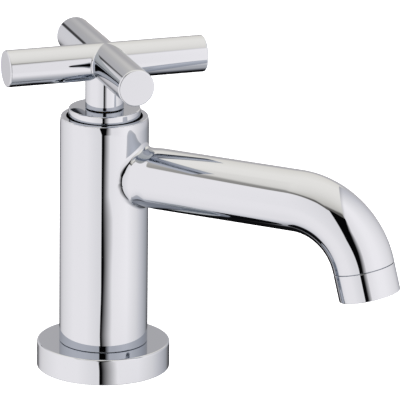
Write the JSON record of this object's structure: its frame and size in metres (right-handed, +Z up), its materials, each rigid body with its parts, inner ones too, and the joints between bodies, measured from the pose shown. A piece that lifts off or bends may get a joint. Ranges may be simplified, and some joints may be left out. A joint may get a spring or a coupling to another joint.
{
  "type": "cross handle tap",
  "caption": "Deck-mounted tap with a round pillar, bent tube spout with aerator, four-armed cross handle on a quarter-turn ceramic valve, and a threaded tail with a clamp nut.",
  "frame": {"origin": "centre of the deck hole, in the plane of the deck and of the flange's underside", "axes": "+Z up along the pillar and the spindle, -Y along the spout, symmetric about X = 0"},
  "size_m": [0.0688, 0.1652, 0.1882],
  "materials": {
    "chrome": "polished",
    "bare_brass": "satin",
    "plain_steel": "satin",
    "black_rubber": "matte",
    "white_ceramic": "satin",
    "white_plastic": "satin",
    "grey_plastic": "satin"
  },
  "bodies": {
    "tap": {"base_flange": "chrome", "deck_gasket": "black_rubber", "foot_o_ring": "black_rubber", "body_pillar": "chrome", "spout": "chrome", "outlet_collar": "chrome", "aerator_housing": "grey_plastic", "aerator_seal": "black_rubber", "aerator_outlet_grid": "grey_plastic", "aerator_jet_cup": "white_plastic", "aerator_filter": "plain_steel", "headwork_body": "bare_brass", "headwork_o_ring": "black_rubber", "seat_seal": "black_rubber", "fixed_ceramic_disc": "white_ceramic", "spindle_thrust_washer": "white_plastic", "bonnet_cover": "chrome", "inlet_tail": "bare_brass", "tail_o_ring": "black_rubber"},
    "handle": {"cross_handle": "chrome", "spline_bush": "bare_brass", "handle_grub_screw": "plain_steel", "valve_spindle": "bare_brass", "moving_ceramic_disc": "white_ceramic", "spindle_o_rings": "black_rubber", "spindle_circlip": "plain_steel"},
    "deck_clamp": {"clamp_rubber_washer": "black_rubber", "clamp_steel_washer": "plain_steel"},
    "nut": {"backnut": "bare_brass"}
  },
  "joints": [
    {"name": "handle_turn", "type": "hinge", "parent": "tap", "child": "handle", "pos_m": [0, 0, 0.1287], "axis": [0, 0, 1], "range_deg": [0, 90]},
    {"name": "clamp_travel", "type": "slide", "parent": "tap", "child": "deck_clamp", "axis": [0, 0, 1], "range_m": [-0.018, 0.019]},
    {"name": "backnut_turn", "type": "hinge", "parent": "deck_clamp", "child": "nut", "pos_m": [0, 0, -0.028], "axis": [0, 0, 1], "range_deg": [-3575, 3775]}
  ],
  "couplings": [
    {"joint": "backnut_turn", "follows": "clamp_travel", "rad_per_m": 3463.7}
  ]
}
